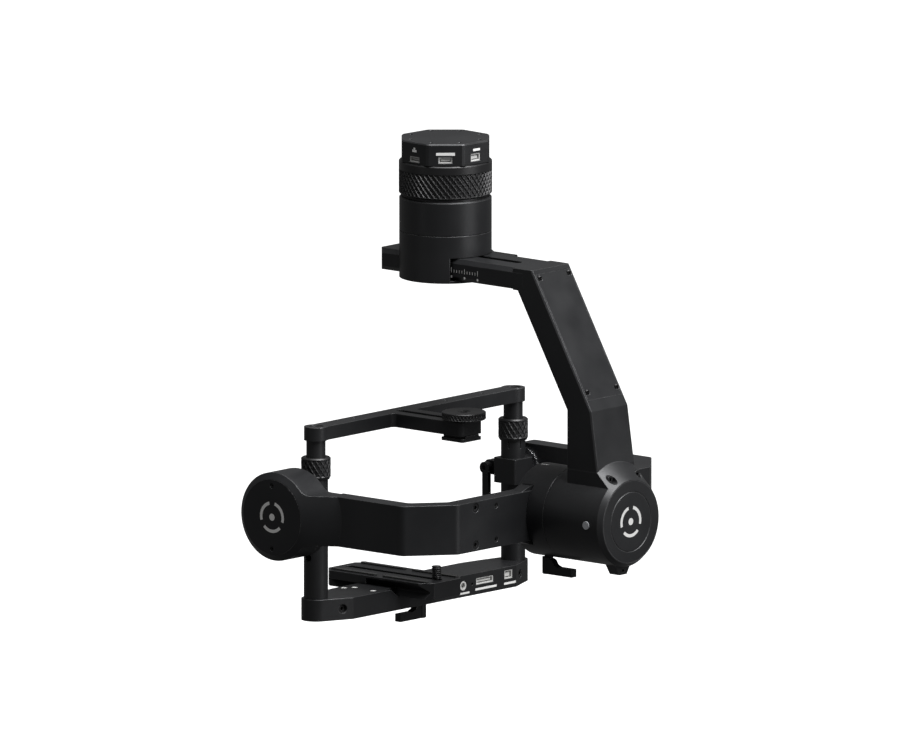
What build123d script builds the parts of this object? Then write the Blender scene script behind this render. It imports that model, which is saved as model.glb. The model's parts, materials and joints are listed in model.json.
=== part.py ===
"""Three-axis camera gimbal that hangs from a quick-release head.

The parts are laid out with the roll and tilt axes at Z = 0 and the pan axis on the Z axis.
When they are written, everything moves down by MOUNT_HEIGHT, so the origin of the finished
model is the centre of the top mounting face. +Y is forward, +X is the gimbal's right.
"""

import math
import os

from build123d import *

# --- fits, millimetres ---
RUNNING = 0.06          # radial clearance of a shaft or bush that turns
GAP = 0.4               # clearance between faces that pass each other

# --- quick-release head and pan motor, about the Z axis ---
MOUNT_HEIGHT = 223.6    # top mounting face above the roll and tilt axes
CAP_FLATS = 54.3
CAP_BOTTOM = 209.9
CAP_TURN = -3.9         # the octagon is clocked against the arm, degrees
CAP_CAVITY_R = 21.8
MOUNT_PCD = 46.0
MOUNT_HOLES = 8
MOUNT_HOLE_R = 1.25
MOUNT_HOLE_DEPTH = 5.0
RING_TOP = 209.6
RING_BOTTOM = 188.6
RING_R = 28.85
NECK_R = 23.0
NECK_BORE_R = 19.0
NECK_BOTTOM = 194.0
MOTOR_R = 28.6
MOTOR_WALL = 3.1
PAN_TOP = 187.2
PAN_SEAM = 165.9
PAN_BOTTOM = 136.4
SHAFT_R = 6.0
BEARING_R = 10.0
STATOR_FLANGE_R = 12.0  # flange that joins a stator's tube to its motor's wall
STATOR_FLANGE = 1.5

# --- pan arm ---
ARM_HALF = 17.8
ARM_TOP = 151.9
ARM_BOTTOM = 138.3
ARM_FRONT = 40.3
ARM_EDGE = 2.7
LEG_EDGE = 0.9          # chamfer down the outer edges of the leg's back
ARM_SLOT_HALF = 3.0
ARM_SLOT_BACK = -62.0
ARM_SLOT_FRONT = 30.0
ARM_WINDOW_HALF = 19.6
LEG_BACK_TOP = (-86.2, 151.9)
LEG_BACK_KNEE = (-134.4, 69.0)
LEG_BACK_FOOT = (-139.7, 34.0)
LEG_INNER_TOP = (-74.6, 138.3)
LEG_INNER_KNEE = (-115.3, 68.1)
COVER_HALF = 15.9
COVER_THICK = 2.0
COVER_TOP_Z = 149.4
COVER_BOTTOM_Z = 75.5
COVER_SCREW_X = 13.65
COVER_SCREW_Z = (146.8, 79.8)

# --- roll motor, about the Y axis ---
ROLL_SEAM = -104.6
ROLL_BACK = -151.9
ROLL_CAP_R = 25.6
ROLL_EDGE_R = 26.2      # radius of the back disc's edge, where the rear cone starts
CONE_SLOPE = 0.803
CONE_END = ROLL_BACK + (MOTOR_R - ROLL_EDGE_R) / CONE_SLOPE
ROLL_SCREW = (12.5, 27.2)
ENGRAVED_R = 18.7
BUTTON_Y = -140.1
BUTTON_R = 2.55
BUTTON_TRAVEL = 0.6
HUB_FRONT = -78.9
CLAW_Z = 18.7

# --- yoke ---
BAR_BACK = -91.1
BAR_FRONT = -79.5
YOKE_HALF_HEIGHT = 15.55
NEAR_OUT = -119.7
NEAR_IN = -107.2
FAR_IN = 102.7
FAR_OUT = 114.8
CORNER_X = 27.0
CORNER_Y = 22.3
RIDGE_TOP = 18.4
RIDGE_HALF = 33.0

# --- tilt motor and bearing, about an X axis at Y = TILT_Y ---
TILT_Y = 25.35
TILT_FACE = -133.9
TILT_COVER_R = 23.6
TILT_RIM_R = 27.65
TILT_CAN_BACK = -109.5
FLARE_R = 44.4
FAR_BEARING_R = (8.5, 12.6)

# --- cage ---
POST_X = 92.6
LOWER_TUBE_R = 7.55
LOWER_TUBE_BORE_R = 6.05
UPPER_TUBE_R = 6.0 - RUNNING / 2
COLLAR_R = 9.25
COLLAR_Z = (18.8, 32.5)
BLOCK_X = (83.8, 100.8)
BLOCK_Y = (16.2, 34.0)
BLOCK_HALF_HEIGHT = 7.8
CLAMP_LEVER_Y = 42.3
TOP_BAR_Z = (43.1, 51.6)
TOP_BAR_HALF = 6.0
BASE_Z = (-69.5, -56.0)
BASE_FRONT = 8.7
BASE_REAR = 40.0
BOSS_R = 9.1

# --- hot-shoe arm ---
SHOE_X = -16.6
SHOE_ARM_HALF = 10.0
SHOE_ARM_END = -36.6
SHOE_SLOT_HALF = 2.7
SHOE_SLOT_Y = (-33.0, 25.0)
SHOE_FOOT_Y = -27.4
SHOE_FOOT_SIZE = 18.2
KNOB_Y = -29.6
KNOB_R = 13.7
KNOB_Z = (52.5, 57.2)

# --- camera plate ---
PLATE_X = -17.05
PLATE_HALF = 19.25
PLATE_Y = (-16.4, 70.2)
PLATE_TOP = -50.6
PLATE_CORNER = 7.0
GROOVE_REAR = 33.6
REAR_BLOCK_Z = -55.6    # underside of the full-width rear part, clear of the base
WAIST_IN = 5.25
TAIL_IN = 2.4
SLAB_EDGE = 1.2
WAIST_Z = (-56.0, -57.0)
TAIL_BOTTOM = -60.8
PLATE_SLOT_HALF = 2.6
PLATE_SLOT_Y = (-11.5, 66.5)
CAMERA_SCREW_Y = -7.5
CAMERA_SCREW_R = 3.175

# --- clamp levers ---
LEVER_R = 3.4
LEVER_REACH = 21.5
LEVER_HEIGHT = 10.6
LEVER_BAR = 5.0
LEVER_WIDTH = 4.6
LEVER_STUD_R = 1.8
PAN_LEVER_Y = -3.0
PAN_LEVER_Z = 145.0
HUB_LEVER_X = -3.7
HUB_LEVER_Y = -87.0
BASE_LEVER_X = 2.0
BASE_LEVER_Y = 22.0

# --- connectors, screws and plugs ---
# head ports: turn from the middle face in degrees, offset along it, low Z, high Z, width
PORTS = {
    "power_connector": (45, -0.8, 211.8, 216.8, 8.2),
    "signal_connector": (0, 0.0, 211.5, 215.5, 8.7),
    "usb_connector": (-45, 0.0, 210.9, 214.6, 8.6),
}
PORT_DEPTH = 5.6
# base ports in its back face: low X, high X, low Z, high Z
BASE_PORTS = {
    "video_connector": (38.8, 54.9, -63.5, -59.3),
    "data_connector": (65.4, 72.9, -63.5, -58.0),
}
BASE_PORT_DEPTH = 7.0
JACK_X, JACK_Z, JACK_R = 26.8, -62.4, 3.0
BASE_PLUGS = [(-54.0, 36.0), (-48.5, 32.0), (-50.0, 15.5)]    # X and Y of each
BASE_PLUG_R = 2.0
BASE_SCREW_X = 83.2
BASE_SCREW_Z = -62.5
YOKE_SCREWS = [(76.0, 11.6, 2.9), (76.0, -11.6, 2.9), (56.8, 10.6, 1.7), (56.8, -10.6, 1.7)]    # X, Z, radius
TILT_SCREW_Z = 19.8
BAR_HOLES_X = (-56.4, 29.3, 63.4)


def block(x0, x1, y0, y1, z0, z1):
    """Box between two corners."""
    centre = ((x0 + x1) / 2, (y0 + y1) / 2, (z0 + z1) / 2)
    return Pos(*centre) * Box(abs(x1 - x0), abs(y1 - y0), abs(z1 - z0))


def rod_z(radius, z0, z1, x=0.0, y=0.0):
    """Cylinder along Z."""
    return Pos(x, y, (z0 + z1) / 2) * Cylinder(radius, abs(z1 - z0))


def rod_x(radius, x0, x1, y=0.0, z=0.0):
    """Cylinder along X."""
    return Pos((x0 + x1) / 2, y, z) * Rot(0, 90, 0) * Cylinder(radius, abs(x1 - x0))


def rod_y(radius, y0, y1, x=0.0, z=0.0):
    """Cylinder along Y."""
    return Pos(x, (y0 + y1) / 2, z) * Rot(90, 0, 0) * Cylinder(radius, abs(y1 - y0))


def prism_x(points, x0, x1):
    """Outline of (y, z) points, drawn out along X."""
    outline = Polygon(*points, align=None)
    return extrude(Plane.YZ.offset(x0) * outline, x1 - x0, dir=(1, 0, 0))


def prism_y(points, y0, y1):
    """Outline of (x, z) points, drawn out along Y."""
    return extrude(Plane.XZ.offset(-y0) * Polygon(*points, align=None), y1 - y0, dir=(0, 1, 0))


def prism_z(points, z0, z1):
    """Outline of (x, y) points, drawn out along Z."""
    return extrude(Plane.XY.offset(z0) * Polygon(*points, align=None), z1 - z0, dir=(0, 0, 1))


def turned_y(profile):
    """Solid of revolution about Y, from (radius, y) points."""
    face = Plane.XY * Polygon(*profile, align=None)
    return revolve(face, Axis.Y)


def turned_z(profile):
    """Solid of revolution about Z, from (radius, z) points."""
    return revolve(Plane.XZ * Polygon(*profile, align=None), Axis.Z)


def turned_tilt(profile):
    """Solid of revolution about the tilt axis, from (x, radius) points."""
    face = Plane.XY * Polygon(*profile, align=None)
    return Pos(0, TILT_Y, 0) * revolve(face, Axis.X)


def slot_z(half_width, y0, y1, z0, z1, x=0.0):
    """Round-ended slot along Y, cut through Z."""
    middle = block(x - half_width, x + half_width, y0 + half_width, y1 - half_width, z0, z1)
    front = rod_z(half_width, z0, z1, x, y1 - half_width)
    back = rod_z(half_width, z0, z1, x, y0 + half_width)
    return middle + front + back


def on_cap_face(turn):
    """Frame on a side face of the octagon: X along the face, Y up, Z out of it."""
    angle = math.radians(225 + CAP_TURN + turn)
    outward = Vector(math.cos(angle), math.sin(angle), 0)
    along = Vector(-math.sin(angle), math.cos(angle), 0)
    return Plane(origin=outward * (CAP_FLATS / 2), x_dir=along, z_dir=outward)


def face_box(turn, along, z0, z1, width, inner, outer):
    """Box on a side face of the octagon, from inner to outer depth along its normal."""
    frame = on_cap_face(turn)
    shape = Pos(along, (z0 + z1) / 2, (inner + outer) / 2) * Box(width, z1 - z0, outer - inner)
    return frame.location * shape


def socket_screw_y(radius, head_height, x, y_face, z, length, hex_half):
    """Cap screw along Y whose head is flush with y_face and whose thread runs towards +Y."""
    head = rod_y(radius, y_face, y_face + head_height, x, z)
    thread = rod_y(radius * 0.55, y_face + head_height, y_face + head_height + length, x, z)
    hexagon = Pos(x, y_face, z) * Rot(-90, 0, 0) * extrude(RegularPolygon(hex_half, 6), head_height * 0.7)
    return head + thread - hexagon


# --- quick-release head -------------------------------------------------------------------

def release_cap():
    turn = Rot(0, 0, CAP_TURN + 22.5)
    outline = turn * RegularPolygon(CAP_FLATS / 2, 8, major_radius=False)
    body = extrude(Plane.XY.offset(CAP_BOTTOM) * outline, MOUNT_HEIGHT - CAP_BOTTOM)
    body = chamfer(body.edges().filter_by(Axis.Z), 1.0)
    body = chamfer(body.edges().group_by(Axis.Z)[-1], 0.8)
    body -= rod_z(CAP_CAVITY_R - 0.8, CAP_BOTTOM, MOUNT_HEIGHT - 3.2)
    body += rod_z(NECK_R, NECK_BOTTOM, CAP_BOTTOM) - rod_z(NECK_BORE_R, NECK_BOTTOM, CAP_BOTTOM)
    for index in range(MOUNT_HOLES):
        angle = math.radians(CAP_TURN + 22.5 + index * 360 / MOUNT_HOLES)
        x = MOUNT_PCD / 2 * math.cos(angle)
        y = MOUNT_PCD / 2 * math.sin(angle)
        body -= rod_z(MOUNT_HOLE_R, MOUNT_HEIGHT - MOUNT_HOLE_DEPTH, MOUNT_HEIGHT, x, y)
    for turn_angle, along, z0, z1, width in PORTS.values():
        body -= face_box(turn_angle, along, z0, z1, width, -PORT_DEPTH - 2, 1)
    return body


def port_connector(name):
    """Moulded header with a mouth and a contact tongue, flush in its opening."""
    turn_angle, along, z0, z1, width = PORTS[name]
    shell = face_box(turn_angle, along, z0, z1, width, -PORT_DEPTH, -0.5)
    mouth = face_box(turn_angle, along, z0 + 0.8, z1 - 0.8, width - 1.6, -PORT_DEPTH + 1.5, 0)
    tongue = face_box(turn_angle, along, z0 + 1.5, z1 - 1.5, width - 3.0, -PORT_DEPTH, -1.5)
    return shell - mouth + tongue


def cap_board():
    top = MOUNT_HEIGHT - 3.6
    board = rod_z(CAP_CAVITY_R - 1.4, top - 1.6, top)
    chip = block(-4, 4, -4, 4, top - 2.8, top - 1.6)
    return board + chip


def slip_ring():
    return rod_z(7.0, 189.5, 207.0) + rod_z(9.5, 204.0, 206.0)


def lock_ring():
    """Knurled ring that draws the gimbal up against the head."""
    bore = NECK_R + RUNNING
    low, high = RING_BOTTOM, RING_TOP
    return turned_z([
        (bore, low), (RING_R - 1.0, low), (RING_R, low + 1.0),
        (RING_R, high - 0.6), (RING_R - 0.6, high), (bore, high),
    ])


def pan_upper_housing():
    low = PAN_SEAM + GAP / 2
    ceiling = PAN_TOP - 3.2
    shell = rod_z(MOTOR_R, low, PAN_TOP)
    shell = chamfer(shell.edges().group_by(Axis.Z)[-1], 0.9)
    shell += rod_z(26.4, PAN_TOP, PAN_TOP + 1.1) + rod_z(NECK_BORE_R, PAN_TOP, 203.0)
    shell -= rod_z(MOTOR_R - MOTOR_WALL, low, ceiling)
    shell += rod_z(9.2, low + 3, ceiling) + rod_z(STATOR_FLANGE_R, ceiling - STATOR_FLANGE, ceiling)
    return shell - rod_z(7.0, low, ceiling) - rod_z(BEARING_R, ceiling, 203.0)


def pan_bearing():
    low = PAN_TOP - 3.2
    return rod_z(BEARING_R, low, low + 5) - rod_z(SHAFT_R, low, low + 5)


def pan_stator():
    return rod_z(21.0, 170.5, 182.0) - rod_z(9.2, 170.5, 182.0)


def pan_lower_housing():
    top = PAN_SEAM - GAP / 2
    body = rod_z(MOTOR_R, PAN_BOTTOM, top)
    body -= block(-ARM_WINDOW_HALF, ARM_WINDOW_HALF, -40, 40, PAN_BOTTOM - 1, ARM_TOP + 0.3)
    body -= rod_z(MOTOR_R - MOTOR_WALL, ARM_TOP + 4.0, top + 1)
    return body - rod_x(LEVER_STUD_R + RUNNING, ARM_WINDOW_HALF, MOTOR_R, PAN_LEVER_Y, PAN_LEVER_Z)


def pan_clamp_plate():
    """Plate that closes the window under the arm."""
    plate = rod_z(MOTOR_R, PAN_BOTTOM, ARM_BOTTOM - 0.3)
    return plate & block(-ARM_WINDOW_HALF, ARM_WINDOW_HALF, -40, 40, PAN_BOTTOM - 1, ARM_TOP)


def pan_magnet_ring():
    return rod_z(24.9, ARM_TOP + 4.0, 181.5) - rod_z(22.0, ARM_TOP + 4.0, 181.5)


def pan_shaft():
    low = ARM_TOP + 4.0
    shaft = rod_z(SHAFT_R - RUNNING, low, 189.0) + rod_z(13.0, low, low + 2.5)
    return shaft - rod_z(3.5, low, 189.0)


def l_lever():
    """Clamp lever on the Z axis: head at the origin reaching up, handle towards +X."""
    low = -LEVER_HEIGHT
    head = chamfer(rod_z(LEVER_R, low, 0).edges().group_by(Axis.Z)[0], 0.4).solid()
    stud = rod_z(LEVER_STUD_R, 0, 5.0)
    handle = prism_y([
        (0, low), (LEVER_REACH, low), (LEVER_REACH, low + LEVER_BAR),
        (9.8, low + LEVER_BAR), (7.0, low + LEVER_BAR + 1.2), (5.2, -1.6), (3.0, -0.8), (0, -0.8),
    ], -LEVER_WIDTH / 2, LEVER_WIDTH / 2)
    return head + handle + stud


def pan_arm_lever():
    """Lever on the right of the pan housing, handle towards the back."""
    return Pos(MOTOR_R + GAP, PAN_LEVER_Y, PAN_LEVER_Z) * Rot(0, -90, 0) * Rot(0, 0, -90) * l_lever()


# --- pan arm with the roll motor's housing ------------------------------------------------

def pan_arm():
    low, high = ARM_BOTTOM, ARM_TOP
    half, edge = ARM_HALF, ARM_EDGE
    bar = prism_y([
        (-half + edge, low), (half - edge, low), (half, low + edge), (half, high - edge),
        (half - edge, high), (-half + edge, high), (-half, high - edge), (-half, low + edge),
    ], LEG_INNER_TOP[0] - 4, ARM_FRONT)
    bar = chamfer(bar.faces().sort_by(Axis.Y)[-1].edges().filter_by(Axis.Z), 4.0)
    leg = prism_x([
        LEG_INNER_TOP, (LEG_INNER_TOP[0] + 4, low), (LEG_INNER_TOP[0] + 4, high), LEG_BACK_TOP,
        LEG_BACK_KNEE, LEG_BACK_FOOT, (LEG_BACK_FOOT[0], 10), (LEG_INNER_KNEE[0], 10), LEG_INNER_KNEE,
    ], -half + 0.05, half - 0.05)
    leg = chamfer([edge_line for edge_line in leg.edges() if is_outer_leg_edge(edge_line)], LEG_EDGE)
    pocket = prism_x([
        (-83.0, 146.0), (-90.2, 149.0), (-131.5, 77.5), (-128.5, 75.8), (-131.0, 66.0), (-135.0, 40),
        (-119.0, 40), (-119.0, 69.0), (-80.0, 136.5),
    ], -12.5, 12.5)
    cover_seat = cover_blank(0.0)
    foot = turned_y(roll_cone_profile()) & block(-half, half, -160, LEG_INNER_KNEE[0], 0, 50)
    can = turned_y([
        (0, ROLL_SEAM - GAP / 2), (MOTOR_R, ROLL_SEAM - GAP / 2), (MOTOR_R, CONE_END),
        (ROLL_EDGE_R, ROLL_BACK), (0, ROLL_BACK),
    ])
    leg = leg - pocket - cover_seat
    lug = prism_y([(-9, -25), (9, -25), (3.4, -34), (-3.4, -34)], -145.5, -137.5)
    arm = bar + leg + foot + can + lug
    arm -= slot_z(ARM_SLOT_HALF, ARM_SLOT_BACK, ARM_SLOT_FRONT, low - 1, high + 1)
    arm -= rod_y(MOTOR_R - MOTOR_WALL, -145.5, ROLL_SEAM)
    arm -= rod_y(ROLL_CAP_R, ROLL_BACK, ROLL_BACK + 2.4)
    arm -= rod_y(BEARING_R, -149.5, -140)
    arm -= rod_x(BUTTON_R + 0.1, -30, -20, BUTTON_Y, 0)
    for side in (-1, 1):
        x, z = side * ROLL_SCREW[0], ROLL_SCREW[1]
        arm -= rod_y(2.7, ROLL_BACK, -143.5, x, z)
        arm -= rod_y(1.5, -143.5, -139.0, x, z)
    return arm - rod_y(1.0, -146, -141, 0, -31.5)


def is_outer_leg_edge(line):
    """True for the slanted and lower edges between the leg's back and its sides."""
    centre = line.center()
    on_back = abs(centre.Y - back_line_y(centre.Z)) < 0.01 and centre.Z > LEG_BACK_KNEE[1]
    low_y = (LEG_BACK_KNEE[0] + LEG_BACK_FOOT[0]) / 2
    on_lower_back = abs(centre.Y - low_y) < 0.01
    return abs(abs(centre.X) - ARM_HALF) < 0.1 and (on_back or on_lower_back)


def roll_cone_profile():
    """Cone that carries the can's rear chamfer on, up to the leg's back face."""
    top_y, inner_y = LEG_BACK_FOOT[0], LEG_INNER_KNEE[0]
    top_r = ROLL_EDGE_R + CONE_SLOPE * (top_y - ROLL_BACK)
    return [(0, CONE_END), (MOTOR_R, CONE_END), (top_r, top_y), (top_r, inner_y), (0, inner_y)]


def back_line_y(z, inset=0.0):
    """Y of the leg's slanted back face at height z, moved in by inset."""
    (y0, z0), (y1, z1) = LEG_BACK_TOP, LEG_BACK_KNEE
    slope = (y1 - y0) / (z1 - z0)
    return y0 + slope * (z - z0) + inset * math.hypot(1, slope)


def cover_blank(clearance):
    top, low = COVER_TOP_Z - clearance, COVER_BOTTOM_Z + clearance
    half = COVER_HALF - clearance
    return prism_x([
        (back_line_y(top), top), (back_line_y(low), low),
        (back_line_y(low, COVER_THICK), low), (back_line_y(top, COVER_THICK), top),
    ], -half, half)


def arm_cover():
    cover = cover_blank(0.08)
    for x, y, z, tilt in cover_screw_places():
        cover -= Pos(x, y, z) * Rot(tilt, 0, 0) * Cylinder(1.9, 2.4)
    return cover


def cover_screw_places():
    (y0, z0), (y1, z1) = LEG_BACK_TOP, LEG_BACK_KNEE
    tilt = 90 + math.degrees(math.atan2(y0 - y1, z0 - z1))
    return [(x, back_line_y(z), z, tilt) for z in COVER_SCREW_Z for x in (-COVER_SCREW_X, COVER_SCREW_X)]


def arm_cover_screws():
    screw = Cylinder(1.8, 1.0) - Pos(0, 0, 0.4) * extrude(RegularPolygon(0.8, 6), 1)
    places = cover_screw_places()
    sunk = Pos(0, 0, -0.55) * screw
    return Compound(children=[Pos(x, y, z) * Rot(tilt, 0, 0) * sunk for x, y, z, tilt in places])


def roll_rear_cap():
    cap = rod_y(ROLL_CAP_R, ROLL_BACK, ROLL_BACK + 2.3)
    outer, inner = [
        rod_y(ENGRAVED_R + half_width, ROLL_BACK, ROLL_BACK + 0.3) for half_width in (0.3, -0.3)
    ]
    cap -= outer - inner
    for side in (-1, 1):
        cap -= rod_y(2.8, ROLL_BACK - 1, ROLL_BACK + 3, side * ROLL_SCREW[0], ROLL_SCREW[1])
    return cap


def roll_rear_screws():
    x, z = ROLL_SCREW
    return Compound(children=[socket_screw_y(2.6, 2.6, side * x, -146.1, z, 4.0, 1.3) for side in (-1, 1)])


def roll_stator():
    return rod_y(21.0, -132.0, -118.0) - rod_y(9.2, -132.0, -118.0)


def roll_stator_seat():
    """Tube on the back wall that carries the stator."""
    tube = rod_y(9.2, -145.5, -118.0) + rod_y(STATOR_FLANGE_R, -145.5, -145.5 + STATOR_FLANGE)
    return tube - rod_y(7.0, -145.5, -118.0)


def roll_bearing():
    return rod_y(BEARING_R, -149.5, -145.5) - rod_y(SHAFT_R, -149.5, -145.5)


def roll_magnet_ring():
    return rod_y(24.9, -133.0, -106.0) - rod_y(22.0, -133.0, -106.0)


def roll_shaft():
    front = ROLL_SEAM + GAP / 2
    shaft = rod_y(SHAFT_R - RUNNING, -149.0, front) + rod_y(24.9, -106.0, front)
    return shaft - rod_y(3.5, -149.0, front)


def mode_button():
    stem = rod_x(BUTTON_R, -29.1, -24.6, BUTTON_Y, 0)
    return stem + rod_x(3.4, -24.6, -23.8, BUTTON_Y, 0)


def button_switch():
    return block(-23.8 + BUTTON_TRAVEL + 0.1, -20.0, BUTTON_Y - 3, BUTTON_Y + 3, -3, 3)


# --- roll hub and yoke --------------------------------------------------------------------

def roll_hub():
    back = ROLL_SEAM + GAP / 2
    hub = rod_y(MOTOR_R, back, HUB_FRONT)
    hub = chamfer(hub.faces().sort_by(Axis.Y)[-1].edges(), 0.8)
    channel = block(-40, 40, BAR_BACK - 0.3, HUB_FRONT + 1, -16.0, 16.0)
    groove = block(-40, 40, BAR_BACK - 0.3, -81.9, -CLAW_Z, CLAW_Z)
    hub = hub - channel - groove
    return hub - rod_z(LEVER_STUD_R + RUNNING, -MOTOR_R - 1, -22.0, HUB_LEVER_X, HUB_LEVER_Y)


def hub_lever():
    """Lever under the roll hub, handle towards the back."""
    return Pos(HUB_LEVER_X, HUB_LEVER_Y, -MOTOR_R - GAP + 0.1) * Rot(0, 0, -90) * l_lever()


def yoke_outline():
    near = [(NEAR_OUT, 0.0), (NEAR_OUT, BAR_BACK + CORNER_Y), (NEAR_OUT + CORNER_X, BAR_BACK)]
    far = [(FAR_OUT - CORNER_X, BAR_BACK), (FAR_OUT, BAR_BACK + CORNER_Y), (FAR_OUT, 0.0)]
    inner_far = [(FAR_IN, 0.0), (FAR_IN, -63.5), (83.5, BAR_FRONT)]
    inner_near = [(-88.4, BAR_FRONT), (NEAR_IN, -63.5), (NEAR_IN, 0.0)]
    return near + far + inner_far + inner_near


def yoke_ridge(side):
    """Dovetail strip on the top or bottom of the bar, with slanted ends."""
    base, top = side * (YOKE_HALF_HEIGHT - 0.2), side * RIDGE_TOP
    return prism_y([
        (-RIDGE_HALF, base), (RIDGE_HALF, base), (RIDGE_HALF - 9, top), (-RIDGE_HALF + 9, top),
    ], BAR_BACK + 0.6, -82.3)


def tilt_fascia():
    """Near end of the yoke: round motor face that flares into the arm."""
    half = YOKE_HALF_HEIGHT
    flat = Circle(TILT_RIM_R) + Pos(-35, 0) * Rectangle(70, 2 * half)
    corners = [v for v in flat.vertices() if -40 < v.X < -5]
    flat = fillet(corners, 9.0)
    body = extrude(Plane.YZ.offset(TILT_FACE) * flat, NEAR_IN - TILT_FACE)
    body = Pos(0, TILT_Y, 0) * body
    cone = turned_tilt([
        (TILT_FACE, 0), (TILT_FACE, TILT_COVER_R), (NEAR_OUT, FLARE_R), (NEAR_IN, FLARE_R), (NEAR_IN, 0),
    ])
    return (body & cone) - block(-150, NEAR_IN - 2.3, -200, TILT_Y - 44.4, -60, 60)


def yoke_frame():
    half = YOKE_HALF_HEIGHT
    outline = Polygon(*yoke_outline(), align=None)
    outer = [v for v in outline.vertices() if v.Y < BAR_FRONT + 25 and v.Y < -50]
    outline = fillet(outer, 5.0)
    bar = extrude(Plane.XY.offset(-half) * outline, 2 * half)
    far_end = block(FAR_IN, FAR_OUT, -1, TILT_Y, -half, half) + rod_x(half, FAR_IN, FAR_OUT, TILT_Y)
    near_end = block(NEAR_OUT, NEAR_IN, -1, TILT_Y, -half, half)
    can = rod_x(TILT_RIM_R, NEAR_OUT - 3, TILT_CAN_BACK, TILT_Y)
    frame = bar + far_end + near_end + can + tilt_fascia()
    frame -= block(TILT_CAN_BACK, TILT_CAN_BACK + 20, -10, 60, -40, 40)
    frame -= rod_x(TILT_COVER_R, TILT_FACE - 1, TILT_FACE + 2.2, TILT_Y)
    frame -= rod_x(21.5, TILT_FACE + 2.2, TILT_CAN_BACK - 3.0, TILT_Y)
    frame -= rod_x(BEARING_R, TILT_CAN_BACK - 3.0, TILT_CAN_BACK, TILT_Y)
    frame -= rod_x(FAR_BEARING_R[1], FAR_IN, FAR_IN + 3.4, TILT_Y)
    frame -= rod_x(8.9, FAR_IN, FAR_IN + 6.0, TILT_Y)
    for side in (-1, 1):
        frame += yoke_ridge(side)
    for x, z, radius in YOKE_SCREWS:
        for place in (-x, x):
            frame -= rod_y(radius + 0.1, BAR_BACK, BAR_BACK + 5.5, place, z)
    return frame


def yoke_screws():
    screws = []
    for x, z, radius in YOKE_SCREWS:
        for place in (-x, x):
            screws.append(socket_screw_y(radius, 2.4, place, BAR_BACK + 0.3, z, 2.6, radius * 0.5))
    return Compound(children=screws)


def tilt_cover():
    cover = rod_x(TILT_COVER_R - 0.1, TILT_FACE, TILT_FACE + 2.1, TILT_Y)
    for z in (-TILT_SCREW_Z, TILT_SCREW_Z):
        cover -= rod_x(1.7, TILT_FACE - 1, TILT_FACE + 2.1, TILT_Y, z)
    return cover


def tilt_cover_screws():
    screws = []
    for z in (-TILT_SCREW_Z, TILT_SCREW_Z):
        screw = rod_x(1.6, TILT_FACE + 0.5, TILT_FACE + 2.1, TILT_Y, z)
        recess = Pos(TILT_FACE, TILT_Y, z) * Rot(0, 90, 0) * extrude(RegularPolygon(0.85, 6), 1.3)
        screws.append(screw - recess)
    return Compound(children=screws)


def tilt_stator():
    return rod_x(17.0, -126.0, TILT_CAN_BACK - 5.0, TILT_Y) - rod_x(7.2, -126.0, TILT_CAN_BACK - 5.0, TILT_Y)


def tilt_bearing_near():
    low, high = TILT_CAN_BACK - 3.0, TILT_CAN_BACK
    return rod_x(BEARING_R, low, high, TILT_Y) - rod_x(SHAFT_R, low, high, TILT_Y)


def tilt_bearing_far():
    low, high = FAR_IN - 1.0, FAR_IN + 3.4
    return rod_x(FAR_BEARING_R[1], low, high, TILT_Y) - rod_x(FAR_BEARING_R[0], low, high, TILT_Y)


# --- cage ---------------------------------------------------------------------------------

def clamp_block(side):
    """Split clamp round one post, with its tilt axle."""
    x0, x1 = BLOCK_X
    y0, y1 = BLOCK_Y
    body = block(x0, x1, y0, y1, -BLOCK_HALF_HEIGHT, BLOCK_HALF_HEIGHT)
    body = chamfer(body.edges().filter_by(Axis.Z), 0.8)
    ears = block(89.0, 97.0, y1 - 1, CLAMP_LEVER_Y + 4.2, -4.4, 4.4)
    ears = chamfer(ears.faces().sort_by(Axis.Y)[-1].edges().filter_by(Axis.X), 2.5)
    body += ears
    if side > 0:
        body += rod_x(FAR_BEARING_R[0] - RUNNING, x1 - 1, FAR_IN + 3.0, TILT_Y)
    else:
        body += rod_x(SHAFT_R - RUNNING, x1 - 1, 128.5, TILT_Y)
        body += rod_x(14.0, POST_X + COLLAR_R + GAP, -TILT_CAN_BACK - 0.6, TILT_Y)
    body -= rod_z(LOWER_TUBE_R + RUNNING, -20, 20, POST_X, TILT_Y)
    body -= block(92.2, 93.4, TILT_Y, 60, -20, 20)
    body -= rod_x(1.8 + RUNNING, 80, 96, CLAMP_LEVER_Y)
    return body if side > 0 else mirror(body, Plane.YZ)


def block_lever(side):
    """Cam lever on one clamp block, handle hanging down."""
    head = rod_x(3.7, 84.7, 88.6, CLAMP_LEVER_Y) - rod_x(1.6, 84.7, 85.9, CLAMP_LEVER_Y)
    head += rod_x(1.8, 86, 95, CLAMP_LEVER_Y)
    handle = block(85.6, 88.4, CLAMP_LEVER_Y - 2.4, CLAMP_LEVER_Y + 2.4, -24.0, 0)
    handle = chamfer(handle.faces().sort_by(Axis.Z)[0].edges().filter_by(Axis.X), 1.6)
    lever = head + handle - rod_x(1.6, 84.7, 85.9, CLAMP_LEVER_Y)
    return lever if side > 0 else mirror(lever, Plane.YZ)


def pair(make):
    """Left and right pieces of one node."""
    right = make()
    return Compound(children=[right, mirror(right, Plane.YZ)])


def lower_tube():
    tube = rod_z(LOWER_TUBE_R, BASE_Z[0] + 3, 31.0, POST_X, TILT_Y)
    tube -= rod_z(LOWER_TUBE_BORE_R, BASE_Z[0], 32, POST_X, TILT_Y)
    tube -= rod_x(2.4, POST_X, POST_X + 10, TILT_Y, -30.0)
    for angle in range(0, 360, 60):
        cut = block(0, 9, -0.4, 0.4, 14.0, 32)
        tube -= Pos(POST_X, TILT_Y, 0) * Rot(0, 0, angle + 20) * cut
    return tube


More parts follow.
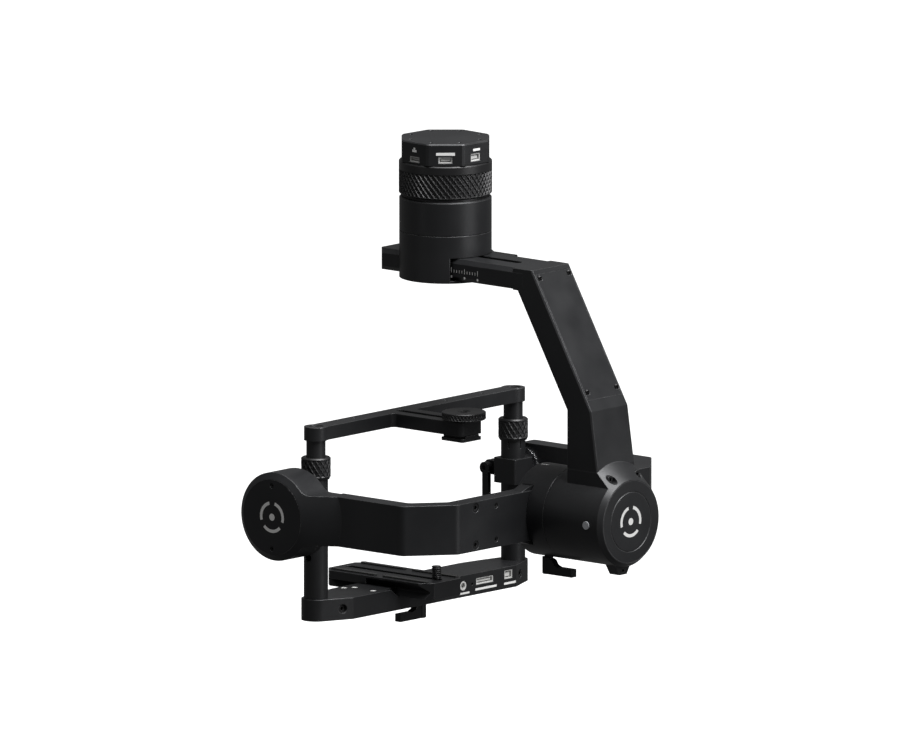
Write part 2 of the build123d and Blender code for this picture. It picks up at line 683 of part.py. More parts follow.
def upper_tube():
    tube = rod_z(UPPER_TUBE_R, -25.0, TOP_BAR_Z[1], POST_X, TILT_Y)
    return tube - rod_z(4.6, -26.0, TOP_BAR_Z[1] + 1, POST_X, TILT_Y)


def tube_plug():
    low, high = TOP_BAR_Z[1] - 5.0, TOP_BAR_Z[1] - 0.4
    screwdriver_slot = block(POST_X - 4, POST_X + 4, TILT_Y - 0.7, TILT_Y + 0.7, high - 1, high)
    return rod_z(4.5, low, high, POST_X, TILT_Y) - screwdriver_slot


def collar(side):
    """Twist collar that grips the upper tube."""
    low, high = COLLAR_Z
    body = turned_z([
        (LOWER_TUBE_R + RUNNING, low), (8.4, low), (COLLAR_R, low + 1.8), (COLLAR_R, high - 0.8),
        (COLLAR_R - 0.8, high), (6.35, high), (6.35, high - 1.1), (LOWER_TUBE_R + RUNNING, high - 1.1),
    ])
    return Pos(side * POST_X, TILT_Y, 0) * body


def top_bar():
    low, high = TOP_BAR_Z
    half = TOP_BAR_HALF
    bar = Pos(0, TILT_Y) * Rectangle(2 * POST_X, 2 * half)
    arm_middle = (TILT_Y + SHOE_ARM_END) / 2
    arm = Pos(SHOE_X, arm_middle) * Rectangle(2 * SHOE_ARM_HALF, TILT_Y - SHOE_ARM_END)
    plan = bar + arm
    plan = fillet([v for v in plan.vertices() if abs(v.X) < 60], 3.0)
    for side in (-1, 1):
        plan += Pos(side * POST_X, TILT_Y) * Circle(half + 1.4)
    body = extrude(Plane.XY.offset(low) * plan, high - low)
    for side in (-1, 1):
        body -= rod_z(UPPER_TUBE_R + 0.01, low, high, side * POST_X, TILT_Y)
    body -= slot_z(SHOE_SLOT_HALF, SHOE_SLOT_Y[0], SHOE_SLOT_Y[1], low, high, SHOE_X)
    for x in BAR_HOLES_X:
        body -= rod_z(1.25, high - 5, high, x, TILT_Y)
    return body


def shoe_foot():
    """Hot-shoe foot on a stud that runs up through the slot."""
    low = TOP_BAR_Z[0]
    half = SHOE_FOOT_SIZE / 2
    plate = block(SHOE_X - half, SHOE_X + half, SHOE_FOOT_Y - half, SHOE_FOOT_Y + half, low - 3.9, low - 1.9)
    plate = chamfer(plate.edges().filter_by(Axis.Z), 1.0)
    neck = block(SHOE_X - 6.2, SHOE_X + 6.2, SHOE_FOOT_Y - half, SHOE_FOOT_Y + half, low - 2.0, low - 0.3)
    stud = rod_z(2.2, low - 1, KNOB_Z[1] - 1.4, SHOE_X, KNOB_Y)
    return plate + neck + stud


def shoe_knob():
    low, high = KNOB_Z
    knob = chamfer(rod_z(KNOB_R, low, high, SHOE_X, KNOB_Y).edges(), 0.5)
    knob += rod_z(5.0, TOP_BAR_Z[1] + 0.3, low, SHOE_X, KNOB_Y)
    return knob - rod_z(2.2 + RUNNING, TOP_BAR_Z[1], high, SHOE_X, KNOB_Y)


def base_outline():
    front, rear = BASE_FRONT, BASE_REAR
    right = [(76.6, front), (96.4, 17.1), (92.6, TILT_Y + BOSS_R), (77.0, 37.5), (60.0, rear)]
    left = [(-x, y) for x, y in reversed(right)]
    return right + left


def tail_half(z_index):
    return PLATE_HALF - (WAIST_IN, TAIL_IN)[z_index]


def plate_section(grow):
    """Dovetail section of the camera plate about its own centre, grown by a clearance."""
    wide, waist, tail = PLATE_HALF + grow, tail_half(0) + grow, tail_half(1) + grow
    right = [
        (wide, PLATE_TOP), (wide, PLATE_TOP - SLAB_EDGE), (waist, WAIST_Z[0] - grow),
        (waist, WAIST_Z[1] - grow), (tail, TAIL_BOTTOM - grow),
    ]
    left = [(-x, z) for x, z in reversed(right)]
    return [(PLATE_X + x, z) for x, z in right + left]


def base_plate():
    low, high = BASE_Z
    body = prism_z(base_outline(), low, high)
    for side in (-1, 1):
        body += rod_z(BOSS_R, low, high, side * POST_X, TILT_Y)
        body -= rod_z(LOWER_TUBE_R + 0.01, low + 3, high, side * POST_X, TILT_Y)
        body -= rod_y(2.8, 5, 18.5, side * BASE_SCREW_X, BASE_SCREW_Z)
    body -= prism_y(plate_section(0.35), BASE_FRONT - 1, BASE_REAR + 1)
    lead = [(-24.5, high + 0.1), (24.5, high + 0.1), (17.3, -61.0), (-17.3, -61.0)]
    body -= prism_y([(PLATE_X + x, z) for x, z in lead], BASE_FRONT - 1, BASE_FRONT + 5)
    for x0, x1, z0, z1 in BASE_PORTS.values():
        body -= block(x0, x1, BASE_FRONT - 1, BASE_FRONT + BASE_PORT_DEPTH, z0, z1)
    body -= rod_y(JACK_R, BASE_FRONT - 1, BASE_FRONT + BASE_PORT_DEPTH, JACK_X, JACK_Z)
    body -= rod_y(0.9, BASE_FRONT - 1, BASE_FRONT + 4, 35.1, -62.4)
    for x, y in BASE_PLUGS:
        body -= rod_z(BASE_PLUG_R, high - 3, high, x, y)
    return body - rod_z(LEVER_STUD_R + RUNNING, low, low + 5.5, BASE_LEVER_X, BASE_LEVER_Y)


def base_plugs():
    top = BASE_Z[1]
    return Compound(children=[rod_z(BASE_PLUG_R - 0.01, top - 3, top - 0.2, x, y) for x, y in BASE_PLUGS])


def base_end_screws():
    screws = []
    for side in (-1, 1):
        screws.append(socket_screw_y(2.7, 2.6, side * BASE_SCREW_X, 12.4, BASE_SCREW_Z, 3.2, 1.4))
    return Compound(children=screws)


def base_connector(name):
    x0, x1, z0, z1 = BASE_PORTS[name]
    shell = block(x0, x1, BASE_FRONT + 0.3, BASE_FRONT + BASE_PORT_DEPTH, z0, z1)
    mouth = block(x0 + 0.7, x1 - 0.7, BASE_FRONT, BASE_FRONT + 4.5, z0 + 0.7, z1 - 0.7)
    tongue = block(x0 + 1.7, x1 - 1.7, BASE_FRONT + 1.2, BASE_FRONT + 5, z0 + 1.5, z1 - 1.5)
    return shell - mouth + tongue


def audio_jack():
    back = BASE_FRONT + BASE_PORT_DEPTH
    body = rod_y(JACK_R - 0.01, BASE_FRONT + 0.2, back, JACK_X, JACK_Z)
    return body - rod_y(1.8, BASE_FRONT, back - 1, JACK_X, JACK_Z)


def base_lever():
    """Lever under the base, handle towards the left."""
    return Pos(BASE_LEVER_X, BASE_LEVER_Y, BASE_Z[0] - 0.3) * Rot(0, 0, 180) * l_lever()


# --- camera plate -------------------------------------------------------------------------

def camera_plate():
    rail = prism_y(plate_section(0.0), PLATE_Y[0], PLATE_Y[1])
    x0, x1 = PLATE_X - PLATE_HALF, PLATE_X + PLATE_HALF
    body = rail + block(x0, x1, GROOVE_REAR, PLATE_Y[1], REAR_BLOCK_Z, PLATE_TOP)
    corner = PLATE_CORNER
    outline = [
        (x0 + corner, PLATE_Y[0]), (x1 - corner, PLATE_Y[0]), (x1, PLATE_Y[0] + corner),
        (x1, PLATE_Y[1] - corner), (x1 - corner, PLATE_Y[1]), (x0 + corner, PLATE_Y[1]),
        (x0, PLATE_Y[1] - corner), (x0, PLATE_Y[0] + corner),
    ]
    body &= prism_z(outline, TAIL_BOTTOM - 1, PLATE_TOP)
    y0, y1 = PLATE_SLOT_Y
    body -= slot_z(PLATE_SLOT_HALF, y0, y1, TAIL_BOTTOM - 1, PLATE_TOP + 1, PLATE_X)
    return body - slot_z(7.4, y0 - 3, y1 + 1, TAIL_BOTTOM - 1, -54.2, PLATE_X)


def grip_ribs():
    """Four rubber strips on the plate, two each side of the slot."""
    strips = []
    for x in (PLATE_X - 13.85, PLATE_X + 13.85):
        for y0, y1 in ((-12.5, 24.0), (29.5, 66.0)):
            strips.append(slot_z(1.75, y0, y1, PLATE_TOP, PLATE_TOP + 0.9, x))
    return Compound(children=strips)


def screw_slider():
    """Retaining washer that carries the camera screw along the slot."""
    washer = rod_z(6.6, -56.2, -54.5, PLATE_X, CAMERA_SCREW_Y)
    return washer - rod_z(2.0 + RUNNING, -57, -54, PLATE_X, CAMERA_SCREW_Y)


def camera_screw():
    """Quarter-inch camera screw with a thinned neck in the slot and a head below."""
    x, y = PLATE_X, CAMERA_SCREW_Y
    neck = rod_z(2.0, -57, PLATE_TOP + 0.5, x, y)
    thread = chamfer(rod_z(CAMERA_SCREW_R, PLATE_TOP + 0.4, PLATE_TOP + 8.4, x, y).edges(), 0.5)
    head = rod_z(6.0, -60.0, -56.5, x, y)
    socket = Pos(x, y, -60.0) * extrude(RegularPolygon(2.2, 6), 2.2)
    return neck + thread + head - socket


NODES = {
    "release_cap": release_cap, "cap_board": cap_board, "slip_ring": slip_ring,
    "pan_upper_housing": pan_upper_housing, "pan_bearing": pan_bearing, "pan_stator": pan_stator,
    "lock_ring": lock_ring,
    "pan_lower_housing": pan_lower_housing, "pan_clamp_plate": pan_clamp_plate,
    "pan_magnet_ring": pan_magnet_ring, "pan_shaft": pan_shaft, "pan_arm_lever": pan_arm_lever,
    "pan_arm": pan_arm, "arm_cover": arm_cover, "arm_cover_screws": arm_cover_screws,
    "roll_rear_cap": roll_rear_cap, "roll_rear_screws": roll_rear_screws, "roll_stator": roll_stator,
    "roll_stator_seat": roll_stator_seat, "roll_bearing": roll_bearing,
    "button_switch": button_switch, "mode_button": mode_button,
    "roll_hub": roll_hub, "roll_magnet_ring": roll_magnet_ring, "roll_shaft": roll_shaft,
    "hub_lever": hub_lever,
    "yoke_frame": yoke_frame, "yoke_screws": yoke_screws, "tilt_cover": tilt_cover,
    "tilt_cover_screws": tilt_cover_screws, "tilt_stator": tilt_stator,
    "tilt_bearing_near": tilt_bearing_near, "tilt_bearing_far": tilt_bearing_far,
    "clamp_block_left": lambda: clamp_block(-1), "clamp_block_right": lambda: clamp_block(1),
    "block_lever_left": lambda: block_lever(-1), "block_lever_right": lambda: block_lever(1),
    "lower_tubes": lambda: pair(lower_tube), "base_plate": base_plate, "base_plugs": base_plugs,
    "base_end_screws": base_end_screws, "audio_jack": audio_jack,
    "upper_tubes": lambda: pair(upper_tube), "top_bar": top_bar, "tube_plugs": lambda: pair(tube_plug),
    "collar_left": lambda: collar(-1), "collar_right": lambda: collar(1),
    "shoe_foot": shoe_foot, "shoe_knob": shoe_knob,
    "camera_plate": camera_plate, "grip_ribs": grip_ribs, "screw_slider": screw_slider,
    "camera_screw": camera_screw, "base_lever": base_lever,
}


def main():
    os.makedirs("parts", exist_ok=True)
    makers = dict(NODES)
    makers |= {name: (lambda name=name: port_connector(name)) for name in PORTS}
    makers |= {name: (lambda name=name: base_connector(name)) for name in BASE_PORTS}
    for name, make in makers.items():
        solid = make().moved(Location((0, 0, -MOUNT_HEIGHT)))
        export_step(solid, f"parts/{name}.step")


main()
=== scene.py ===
import json
import math

import bmesh
import bpy
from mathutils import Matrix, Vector


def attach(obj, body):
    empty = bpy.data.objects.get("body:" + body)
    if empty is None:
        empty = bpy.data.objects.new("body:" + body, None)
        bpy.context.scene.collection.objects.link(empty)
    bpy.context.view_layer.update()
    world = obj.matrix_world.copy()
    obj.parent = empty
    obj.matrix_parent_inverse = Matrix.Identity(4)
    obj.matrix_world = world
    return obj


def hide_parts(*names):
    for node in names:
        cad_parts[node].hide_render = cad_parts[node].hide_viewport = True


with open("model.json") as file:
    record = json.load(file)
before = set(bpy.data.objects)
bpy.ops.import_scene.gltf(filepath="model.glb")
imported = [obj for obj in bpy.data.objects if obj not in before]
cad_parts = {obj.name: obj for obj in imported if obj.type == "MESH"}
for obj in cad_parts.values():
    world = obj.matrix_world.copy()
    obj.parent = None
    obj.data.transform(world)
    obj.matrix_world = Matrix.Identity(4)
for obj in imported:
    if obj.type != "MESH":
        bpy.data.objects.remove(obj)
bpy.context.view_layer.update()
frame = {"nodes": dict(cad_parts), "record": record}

MM = 0.001
HEIGHT = 223.6          # layout Z of the row frame's origin, millimetres
TILT_Y = 25.35


def at(x, y, z):
    """Point in the row frame, in metres, from layout millimetres."""
    return Vector((x * MM, y * MM, (z - HEIGHT) * MM))


# ---------------------------------------------------------------- materials

class Nodes:
    """Short way to wire up one material's node tree."""

    def __init__(self, name):
        self.material = bpy.data.materials.new(name)
        self.material.use_nodes = True
        self.tree = self.material.node_tree
        self.shader = self.tree.nodes["Principled BSDF"]
        self.coords = self.tree.nodes.new("ShaderNodeTexCoord").outputs["Object"]

    def link(self, value, socket):
        if hasattr(value, "links"):
            self.tree.links.new(value, socket)
        else:
            socket.default_value = value

    def noise(self, scale, detail=4.0):
        node = self.tree.nodes.new("ShaderNodeTexNoise")
        node.inputs["Scale"].default_value = scale
        node.inputs["Detail"].default_value = detail
        self.tree.links.new(self.coords, node.inputs["Vector"])
        return node.outputs["Fac"]

    def span(self, value, low, high, start=0.3, stop=0.7):
        node = self.tree.nodes.new("ShaderNodeMapRange")
        for name, number in (("From Min", start), ("From Max", stop), ("To Min", low), ("To Max", high)):
            node.inputs[name].default_value = number
        self.link(value, node.inputs["Value"])
        return node.outputs["Result"]

    def math(self, operation, a, b=0.0):
        node = self.tree.nodes.new("ShaderNodeMath")
        node.operation = operation
        self.link(a, node.inputs[0])
        self.link(b, node.inputs[1])
        return node.outputs[0]

    def mix(self, factor, a, b):
        node = self.tree.nodes.new("ShaderNodeMix")
        node.data_type = "RGBA"
        self.link(factor, node.inputs[0])
        for value, socket in ((a, node.inputs[6]), (b, node.inputs[7])):
            self.link(value if hasattr(value, "links") else (*value, 1.0), socket)
        return node.outputs[2]

    def rounded(self, radius):
        """Normal with rounded corners, and how far it leans from the flat one."""
        bevel = self.tree.nodes.new("ShaderNodeBevel")
        bevel.samples = 6
        bevel.inputs["Radius"].default_value = radius
        geometry = self.tree.nodes.new("ShaderNodeNewGeometry")
        dot = self.tree.nodes.new("ShaderNodeVectorMath")
        dot.operation = "DOT_PRODUCT"
        self.tree.links.new(bevel.outputs["Normal"], dot.inputs[0])
        self.tree.links.new(geometry.outputs["Normal"], dot.inputs[1])
        return bevel.outputs["Normal"], self.span(dot.outputs["Value"], 1.0, 0.0, 0.75, 0.995)

    def bump(self, height, strength, distance, normal):
        node = self.tree.nodes.new("ShaderNodeBump")
        node.inputs["Strength"].default_value = strength
        node.inputs["Distance"].default_value = distance
        self.link(height, node.inputs["Height"])
        self.link(normal, node.inputs["Normal"])
        return node.outputs["Normal"]


def finish_material(name, dark, light, edge_highlight, rough, metallic, grain, bump, radius=0.0005, highlight_strength=0.5):
    """Blasted or moulded surface: slow colour drift, fine grain, and a painted highlight that lightens the edges in
    patches towards a lighter colour.
    """
    n = Nodes(name)
    normal, edge = n.rounded(radius)
    colour = n.mix(n.span(n.noise(18.0), 0.0, 1.0), dark, light)
    # Painted highlight: the bevel edge mask, broken up by noise, lightens the edges towards the lighter third colour.
    painted_highlight = n.math("MULTIPLY", edge, n.span(n.noise(140.0), 0.3 * highlight_strength, highlight_strength))
    n.link(n.mix(painted_highlight, colour, edge_highlight), n.shader.inputs["Base Color"])
    n.link(n.span(n.noise(45.0, 6.0), rough[0], rough[1]), n.shader.inputs["Roughness"])
    n.link(n.bump(n.noise(grain, 2.0), bump, 0.00006, normal), n.shader.inputs["Normal"])
    n.shader.inputs["Metallic"].default_value = metallic
    return n


def emblem_mask(n, axis_pair, centre):
    """1 on a broken ring of three arcs with a centre dot, drawn flat on a round face."""
    split = n.tree.nodes.new("ShaderNodeSeparateXYZ")
    n.tree.links.new(n.coords, split.inputs[0])
    u = n.math("SUBTRACT", split.outputs[axis_pair[0]], centre[0])
    v = n.math("SUBTRACT", split.outputs[axis_pair[1]], centre[1])
    radius = n.math("SQRT", n.math("ADD", n.math("MULTIPLY", u, u), n.math("MULTIPLY", v, v)))
    ring = n.math("LESS_THAN", n.math("ABSOLUTE", n.math("SUBTRACT", radius, 0.0088)), 0.0010)
    turn = n.math("MULTIPLY", n.math("ARCTAN2", v, u), 3.0)
    arcs = n.math("MULTIPLY", ring, n.math("GREATER_THAN", n.math("SINE", turn), -0.75))
    dot = n.math("LESS_THAN", radius, 0.0022)
    return n.math("MAXIMUM", arcs, dot)


# The third colour is the lighter tone of the painted edge highlight.
BLACK = dict(dark=(0.016, 0.0165, 0.018), light=(0.024, 0.0245, 0.026), edge_highlight=(0.3, 0.3, 0.31),
             rough=(0.32, 0.44), metallic=0.45, grain=2600.0, bump=0.25)
PRINT_WHITE = (0.82, 0.82, 0.81)


def black_with_emblem(name, axis_pair, centre):
    n = finish_material(name, **BLACK)
    coloured = n.shader.inputs["Base Color"].links[0].from_socket
    n.link(n.mix(emblem_mask(n, axis_pair, centre), coloured, PRINT_WHITE), n.shader.inputs["Base Color"])
    return n.material


MATERIALS = {
    "black_anodised": finish_material("black_anodised", **BLACK).material,
    "dark_hardware": finish_material(
        "dark_hardware", (0.012, 0.012, 0.013), (0.02, 0.02, 0.021), (0.2, 0.2, 0.2),
        (0.26, 0.4), 0.5, 1800.0, 0.2, 0.0003, 0.6).material,
    "bearing_steel": finish_material(
        "bearing_steel", (0.62, 0.63, 0.65), (0.72, 0.73, 0.75), (0.85, 0.85, 0.85),
        (0.18, 0.3), 1.0, 900.0, 0.15, 0.0003).material,
    "port_plastic": finish_material(
        "port_plastic", (0.5, 0.5, 0.49), (0.6, 0.6, 0.59), (0.7, 0.7, 0.7),
        (0.4, 0.55), 0.0, 1500.0, 0.15, 0.0002, 0.3).material,
    "grey_plastic": finish_material(
        "grey_plastic", (0.3, 0.31, 0.33), (0.38, 0.39, 0.41), (0.5, 0.5, 0.5),
        (0.35, 0.5), 0.0, 1500.0, 0.15, 0.0002, 0.3).material,
    "white_plastic": finish_material(
        "white_plastic", (0.72, 0.72, 0.7), (0.8, 0.8, 0.78), (0.86, 0.86, 0.85),
        (0.4, 0.55), 0.0, 1500.0, 0.15, 0.0002, 0.3).material,
    "copper": finish_material(
        "copper", (0.42, 0.18, 0.07), (0.55, 0.27, 0.12), (0.7, 0.4, 0.2),
        (0.3, 0.5), 0.9, 700.0, 0.4, 0.0003).material,
    "circuit_board": finish_material(
        "circuit_board", (0.01, 0.09, 0.04), (0.02, 0.13, 0.06), (0.1, 0.2, 0.1),
        (0.3, 0.45), 0.0, 700.0, 0.2, 0.0002, 0.3).material,
}


def rubber_material():
    """Matte rubber with fine cross ribs."""
    n = Nodes("grip_rubber")
    normal, _ = n.rounded(0.0003)
    wave = n.tree.nodes.new("ShaderNodeTexWave")
    wave.bands_direction = "Y"
    wave.inputs["Scale"].default_value = 220.0
    wave.inputs["Distortion"].default_value = 0.0
    n.tree.links.new(n.coords, wave.inputs["Vector"])
    n.link(n.mix(n.span(n.noise(60.0), 0, 1), (0.01, 0.01, 0.01), (0.02, 0.02, 0.02)), n.shader.inputs["Base Color"])
    n.link(n.span(n.noise(90.0), 0.62, 0.8), n.shader.inputs["Roughness"])
    n.link(n.bump(wave.outputs["Fac"], 0.7, 0.0003, normal), n.shader.inputs["Normal"])
    return n.material


MATERIALS["grip_rubber"] = rubber_material()
MATERIALS["print"] = finish_material(
    "print_white", (0.74, 0.74, 0.73), PRINT_WHITE, (0.86, 0.86, 0.86), (0.5, 0.62), 0.0, 900.0, 0.1,
    0.0001, 0.2).material
# Knurled parts take a strong painted highlight on their crests and edges from the edge mask.
KNURLED = finish_material(
    "knurled_black", (0.012, 0.012, 0.013), (0.018, 0.018, 0.019), (0.2, 0.2, 0.205),
    (0.3, 0.42), 0.35, 2600.0, 0.2, 0.00015, 0.8).material
TILT_EMBLEM = black_with_emblem("tilt_cover_black", ("Y", "Z"), (TILT_Y * MM, -HEIGHT * MM))
ROLL_EMBLEM = black_with_emblem("roll_cap_black", ("X", "Z"), (0.0, -HEIGHT * MM))


def paint(obj, material):
    obj.data.materials.clear()
    obj.data.materials.append(material)


for part in frame["record"]["subparts"]:
    paint(frame["nodes"][part["node"]], MATERIALS[part["material_slot"]])
paint(frame["nodes"]["tilt_cover"], TILT_EMBLEM)
paint(frame["nodes"]["roll_rear_cap"], ROLL_EMBLEM)


# ---------------------------------------------------------------- turned pieces

def turned(name, outline, count, shape, centre, body, slot, replaces, material=None):
    """Ring turned from a closed (radius, z) outline in millimetres; shape(angle, r, z) gives the cut radius.

    An outline that starts and ends on the axis makes a solid piece."""
    vertices, faces, cuts = [], [], []
    rows = len(outline)
    for i in range(count):
        angle = 2 * math.pi * i / count
        for r, z in outline:
            cut = shape(angle, r, z)
            cuts.append(cut)
            vertices.append(at(centre[0] + cut * math.cos(angle), centre[1] + cut * math.sin(angle), z))
    for i in range(count):
        j = (i + 1) % count
        for k in range(rows):
            m = (k + 1) % rows
            if outline[k][0] == 0 and outline[m][0] == 0:
                continue
            a, b, c, d = i * rows + k, j * rows + k, j * rows + m, i * rows + m
            lean = cuts[a] + cuts[c] - cuts[b] - cuts[d]
            if abs(lean) < 1e-6:
                faces.append((a, b, c, d))
            elif lean > 0:          # a crest runs from a to c, so the quad is split along it
                faces += [(a, b, c), (a, c, d)]
            else:
                faces += [(a, b, d), (b, c, d)]
    mesh = bpy.data.meshes.new(name)
    mesh.from_pydata(vertices, [], faces)
    obj = bpy.data.objects.new(name, mesh)
    bpy.context.scene.collection.objects.link(obj)
    work = bmesh.new()
    work.from_mesh(mesh)
    bmesh.ops.remove_doubles(work, verts=work.verts, dist=1e-7)
    bmesh.ops.recalc_face_normals(work, faces=work.faces)
    work.to_mesh(mesh)
    work.free()
    paint(obj, material or MATERIALS[slot])
    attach(obj, body)
    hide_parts(*replaces)


def line(a, b, steps):
    """Points from a towards b, without b."""
    return [(a[0] + (b[0] - a[0]) * i / steps, a[1] + (b[1] - a[1]) * i / steps) for i in range(steps)]


def crest(value, width):
    """1 on a line at every whole number, falling to 0 at width either side."""
    distance = abs(value - round(value))
    return max(0.0, 1.0 - distance / width)


def knurl(across, pitch, low, high, surface, depth):
    """Crossed raised lines with sunk diamonds between them, from low to high."""
    def shape(angle, r, z):
        if r < surface - 0.01 or z < low or z > high:
            return r
        u, v = angle * across / (2 * math.pi), (z - low) / pitch
        height = max(crest(u + v, 0.2), crest(u - v, 0.2))
        fade = min(1.0, (z - low) / 0.4, (high - z) / 0.4)
        return r - depth * (1.0 - height) * fade
    return shape


RING_R, RING_LOW, RING_HIGH = 28.85, 188.6, 209.6
RING_ACROSS, RING_PITCH, CELL_STEPS, RING_ROWS = 52, 4.5, 14, 46
KNURL_LOW = RING_LOW + 1.0
KNURL_HIGH = KNURL_LOW + RING_ROWS * RING_PITCH / CELL_STEPS
ring_outline = (
    [(23.06, RING_LOW), (RING_R - 1.0, RING_LOW)]
    + line((RING_R, KNURL_LOW), (RING_R, KNURL_HIGH), RING_ROWS)
    + [(RING_R, KNURL_HIGH), (RING_R, RING_HIGH - 0.6), (RING_R - 0.6, RING_HIGH), (23.06, RING_HIGH)]
)
turned("lock_ring_knurled", ring_outline, RING_ACROSS * CELL_STEPS,
       knurl(RING_ACROSS, RING_PITCH, KNURL_LOW, KNURL_HIGH, RING_R, 0.8),
       (0, 0), "lock_ring", "black_anodised", ["lock_ring"], KNURLED)


COLLAR_R, COLLAR_LOW, COLLAR_HIGH = 9.25, 18.8, 32.5
collar_outline = (
    [(7.61, COLLAR_LOW), (8.4, COLLAR_LOW)]
    + line((COLLAR_R, COLLAR_LOW + 1.8), (COLLAR_R, COLLAR_HIGH - 0.8), 26)
    + [(COLLAR_R, COLLAR_HIGH - 0.8), (COLLAR_R - 0.8, COLLAR_HIGH), (6.35, COLLAR_HIGH),
       (6.35, COLLAR_HIGH - 1.1), (7.61, COLLAR_HIGH - 1.1)]
)
for side, word in ((-1, "left"), (1, "right")):
    turned(f"collar_{word}_cut", collar_outline, 288,
           knurl(18, 5.2, COLLAR_LOW + 2.0, COLLAR_HIGH - 1.2, COLLAR_R, 0.5),
           (side * 92.6, TILT_Y), f"collar_{word}", "black_anodised", [f"collar_{word}"], KNURLED)


KNOB_R, KNOB_LOW, KNOB_HIGH, BAR_TOP = 13.7, 52.5, 57.2, 51.6
knob_outline = (
    [(2.26, BAR_TOP + 0.3), (5.0, BAR_TOP + 0.3), (5.0, KNOB_LOW), (KNOB_R - 0.5, KNOB_LOW)]
    + line((KNOB_R, KNOB_LOW + 0.5), (KNOB_R, KNOB_HIGH - 0.5), 14)
    + [(KNOB_R, KNOB_HIGH - 0.5), (KNOB_R - 0.5, KNOB_HIGH), (4.4, KNOB_HIGH),
       (3.4, KNOB_HIGH - 0.5), (2.26, KNOB_HIGH - 0.5)]
)
turned("shoe_knob_cut", knob_outline, 400,
       knurl(40, 3.6, KNOB_LOW + 0.5, KNOB_HIGH - 0.5, KNOB_R, 0.5),
       (-16.6, -29.6), "shoe_knob", "dark_hardware", ["shoe_knob"], KNURLED)


THREAD_PITCH, THREAD_R, PLATE_TOP = 1.27, 3.175, -50.6


def thread(angle, r, z):
    """Helical V groove on the upper part of the camera screw."""
    if r < THREAD_R - 0.3 or z < PLATE_TOP + 0.6:
        return r
    turn = ((z / THREAD_PITCH) - angle / (2 * math.pi)) % 1.0
    return r - 0.7 * (1.0 - abs(2.0 * turn - 1.0)) * min(1.0, (PLATE_TOP + 8.3 - z) / 0.6)


screw_outline = (
    [(0, -57.9), (2.2, -57.9), (2.2, -60.0), (5.6, -60.0), (6.0, -59.6), (6.0, -56.9), (5.6, -56.5),
     (2.0, -56.5), (2.0, PLATE_TOP + 0.4), (THREAD_R - 0.5, PLATE_TOP + 0.4)]
    + line((THREAD_R, PLATE_TOP + 0.9), (THREAD_R, PLATE_TOP + 7.9), 56)
    + [(THREAD_R, PLATE_TOP + 7.9), (THREAD_R - 0.5, PLATE_TOP + 8.4), (0, PLATE_TOP + 8.4)]
)
turned("camera_screw_threaded", screw_outline, 64, thread, (-17.05, -7.5),
       "camera_screw", "dark_hardware", ["camera_screw"])


# ---------------------------------------------------------------- prints

def patches(name, body, marks):
    """One mesh of thin printed marks. Each mark is (centre, along, up, width, height) in layout millimetres."""
    vertices, faces = [], []
    for centre, along, up, width, height in marks:
        along, up = Vector(along).normalized(), Vector(up).normalized()
        out = along.cross(up)
        base = len(vertices)
        for depth in (-0.02, 0.03):
            for a, b in ((-1, -1), (1, -1), (1, 1), (-1, 1)):
                p = Vector(centre) + along * a * width / 2 + up * b * height / 2 + out * depth
                vertices.append(at(*p))
        faces += [tuple(base + i for i in f) for f in (
            (3, 2, 1, 0), (4, 5, 6, 7), (0, 1, 5, 4), (1, 2, 6, 5), (2, 3, 7, 6), (3, 0, 4, 7))]
    mesh = bpy.data.meshes.new(name)
    mesh.from_pydata(vertices, [], faces)
    obj = bpy.data.objects.new(name, mesh)
    bpy.context.scene.collection.objects.link(obj)
    paint(obj, MATERIALS["print"])
    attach(obj, body)
    return obj


SIDE_X = -17.8
scale = []
for i in range(11):
    y = -20.4 - 2.14 * i
    long_tick = i % 5 == 0
    scale.append(((SIDE_X, y, 144.9 if long_tick else 144.5), (0, -1, 0), (0, 0, 1), 0.35, 3.2 if long_tick else 1.8))
    if long_tick:
        scale.append(((SIDE_X, y, 140.9), (0, -1, 0), (0, 0, 1), 1.2, 1.4))
patches("arm_scale", "pan_arm", scale)

BACK_Y = 8.7
patches("base_labels", "cage", [
    ((48.0, BACK_Y, -66.3), (1, 0, 0), (0, 0, 1), 20.0, 1.4),
    ((70.5, BACK_Y, -66.3), (1, 0, 0), (0, 0, 1), 11.0, 1.4),
    ((28.0, BACK_Y, -67.2), (1, 0, 0), (0, 0, 1), 9.0, 1.2),
])


def cap_mark(turn, along, z, width, height):
    """Mark on a side face of the head's octagon."""
    angle = math.radians(225 - 3.9 + turn)
    out = Vector((math.cos(angle), math.sin(angle), 0))
    side = Vector((-math.sin(angle), math.cos(angle), 0))
    centre = out * 27.15 + side * along
    return ((centre.x, centre.y, z), tuple(side), (0, 0, 1), width, height)


patches("head_labels", "mount_head", [
    cap_mark(0, 0.0, 217.4, 11.7, 1.8),
    cap_mark(-45, 0.0, 218.1, 3.6, 1.5),
    cap_mark(-45, 0.0, 219.4, 1.5, 1.6),
    cap_mark(45, 0.0, 219.0, 6.0, 1.5),
])
patches("hub_pointer", "roll_hub", [
    ((-3.0, -84.5, 28.45), (1, 0, 0), (0, 1, 0), 1.0, 6.0),
])

# ---------------------------------------------------------------- floor, light, camera

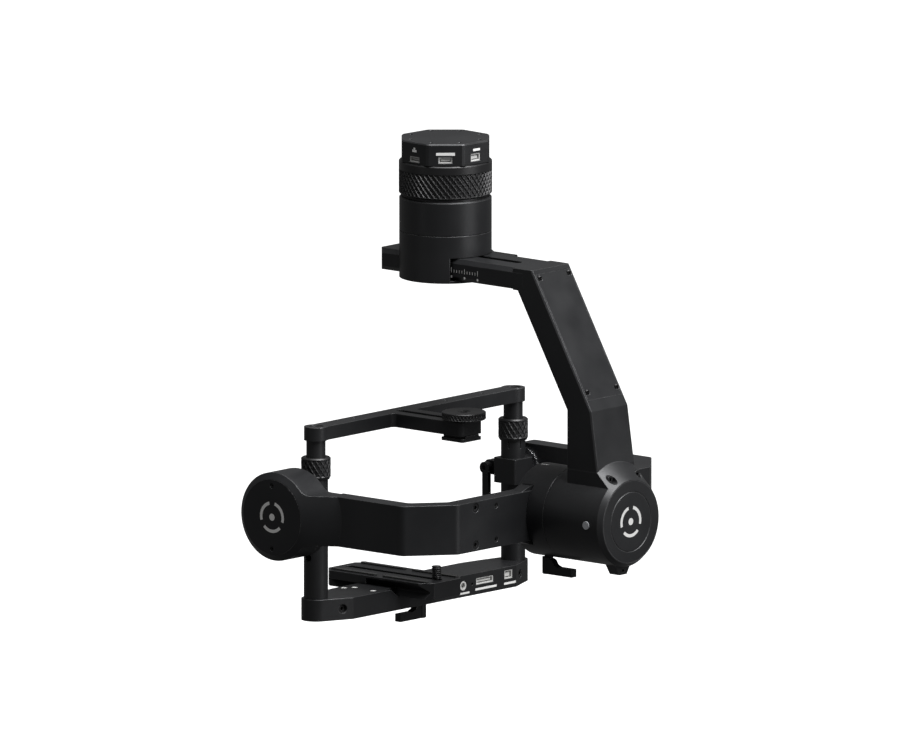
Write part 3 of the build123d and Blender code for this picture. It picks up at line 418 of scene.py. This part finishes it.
floor_mesh = bpy.data.meshes.new("floor")
floor_mesh.from_pydata([(-20, -20, -0.56), (20, -20, -0.56), (20, 20, -0.56), (-20, 20, -0.56)], [], [(0, 1, 2, 3)])
floor = bpy.data.objects.new("floor", floor_mesh)
bpy.context.scene.collection.objects.link(floor)
pale = Nodes("floor_pale")
pale.link(pale.mix(pale.span(pale.noise(1.5), 0, 1), (0.96, 0.96, 0.96), (0.98, 0.98, 0.98)),
          pale.shader.inputs["Base Color"])
pale.shader.inputs["Roughness"].default_value = 0.9
floor_mesh.materials.append(pale.material)
floor.visible_diffuse = False
floor.visible_glossy = False


def area_light(name, place, aim, power, size):
    data = bpy.data.lights.new(name, "AREA")
    data.shape = "RECTANGLE"
    data.size, data.size_y = size
    data.energy = power
    light = bpy.data.objects.new(name, data)
    bpy.context.scene.collection.objects.link(light)
    light.location = place
    light.rotation_euler = (Vector(aim) - Vector(place)).to_track_quat("-Z", "Y").to_euler()


area_light("top_softbox", (0.1, -0.1, 1.3), (0, 0, -0.15), 26.0, (1.2, 1.2))
area_light("right_softbox", (0.35, -1.5, 0.15), (0, 0, -0.15), 8.0, (0.9, 0.9))
area_light("left_strip", (-1.3, 0.4, 0.25), (-0.1, 0, -0.15), 0.4, (0.15, 1.1))

sun_data = bpy.data.lights.new("sun", "SUN")
sun_data.energy = 4.4
sun_data.angle = math.radians(40)
sun = bpy.data.objects.new("sun", sun_data)
bpy.context.scene.collection.objects.link(sun)
sun.rotation_euler = (math.radians(34), math.radians(6), 0)

world = bpy.data.worlds.new("studio")
world.use_nodes = True
world.node_tree.nodes["Background"].inputs["Color"].default_value = (1.0, 1.0, 1.0, 1.0)
world.node_tree.nodes["Background"].inputs["Strength"].default_value = 0.12
bpy.context.scene.world = world
bpy.context.scene.view_settings.view_transform = "Standard"

camera_data = bpy.data.cameras.new("camera")
camera_data.type = "ORTHO"
camera_data.ortho_scale = 0.5556
camera_data.clip_end = 40.0
camera = bpy.data.objects.new("camera", camera_data)
bpy.context.scene.collection.objects.link(camera)
back = Vector((-0.7421, -0.6474, 0.1736))
camera.location = Vector((0.00184, -0.00211, -0.1493)) + back * 2.0
camera.rotation_euler = back.to_track_quat("Z", "Y").to_euler()
bpy.context.scene.camera = camera
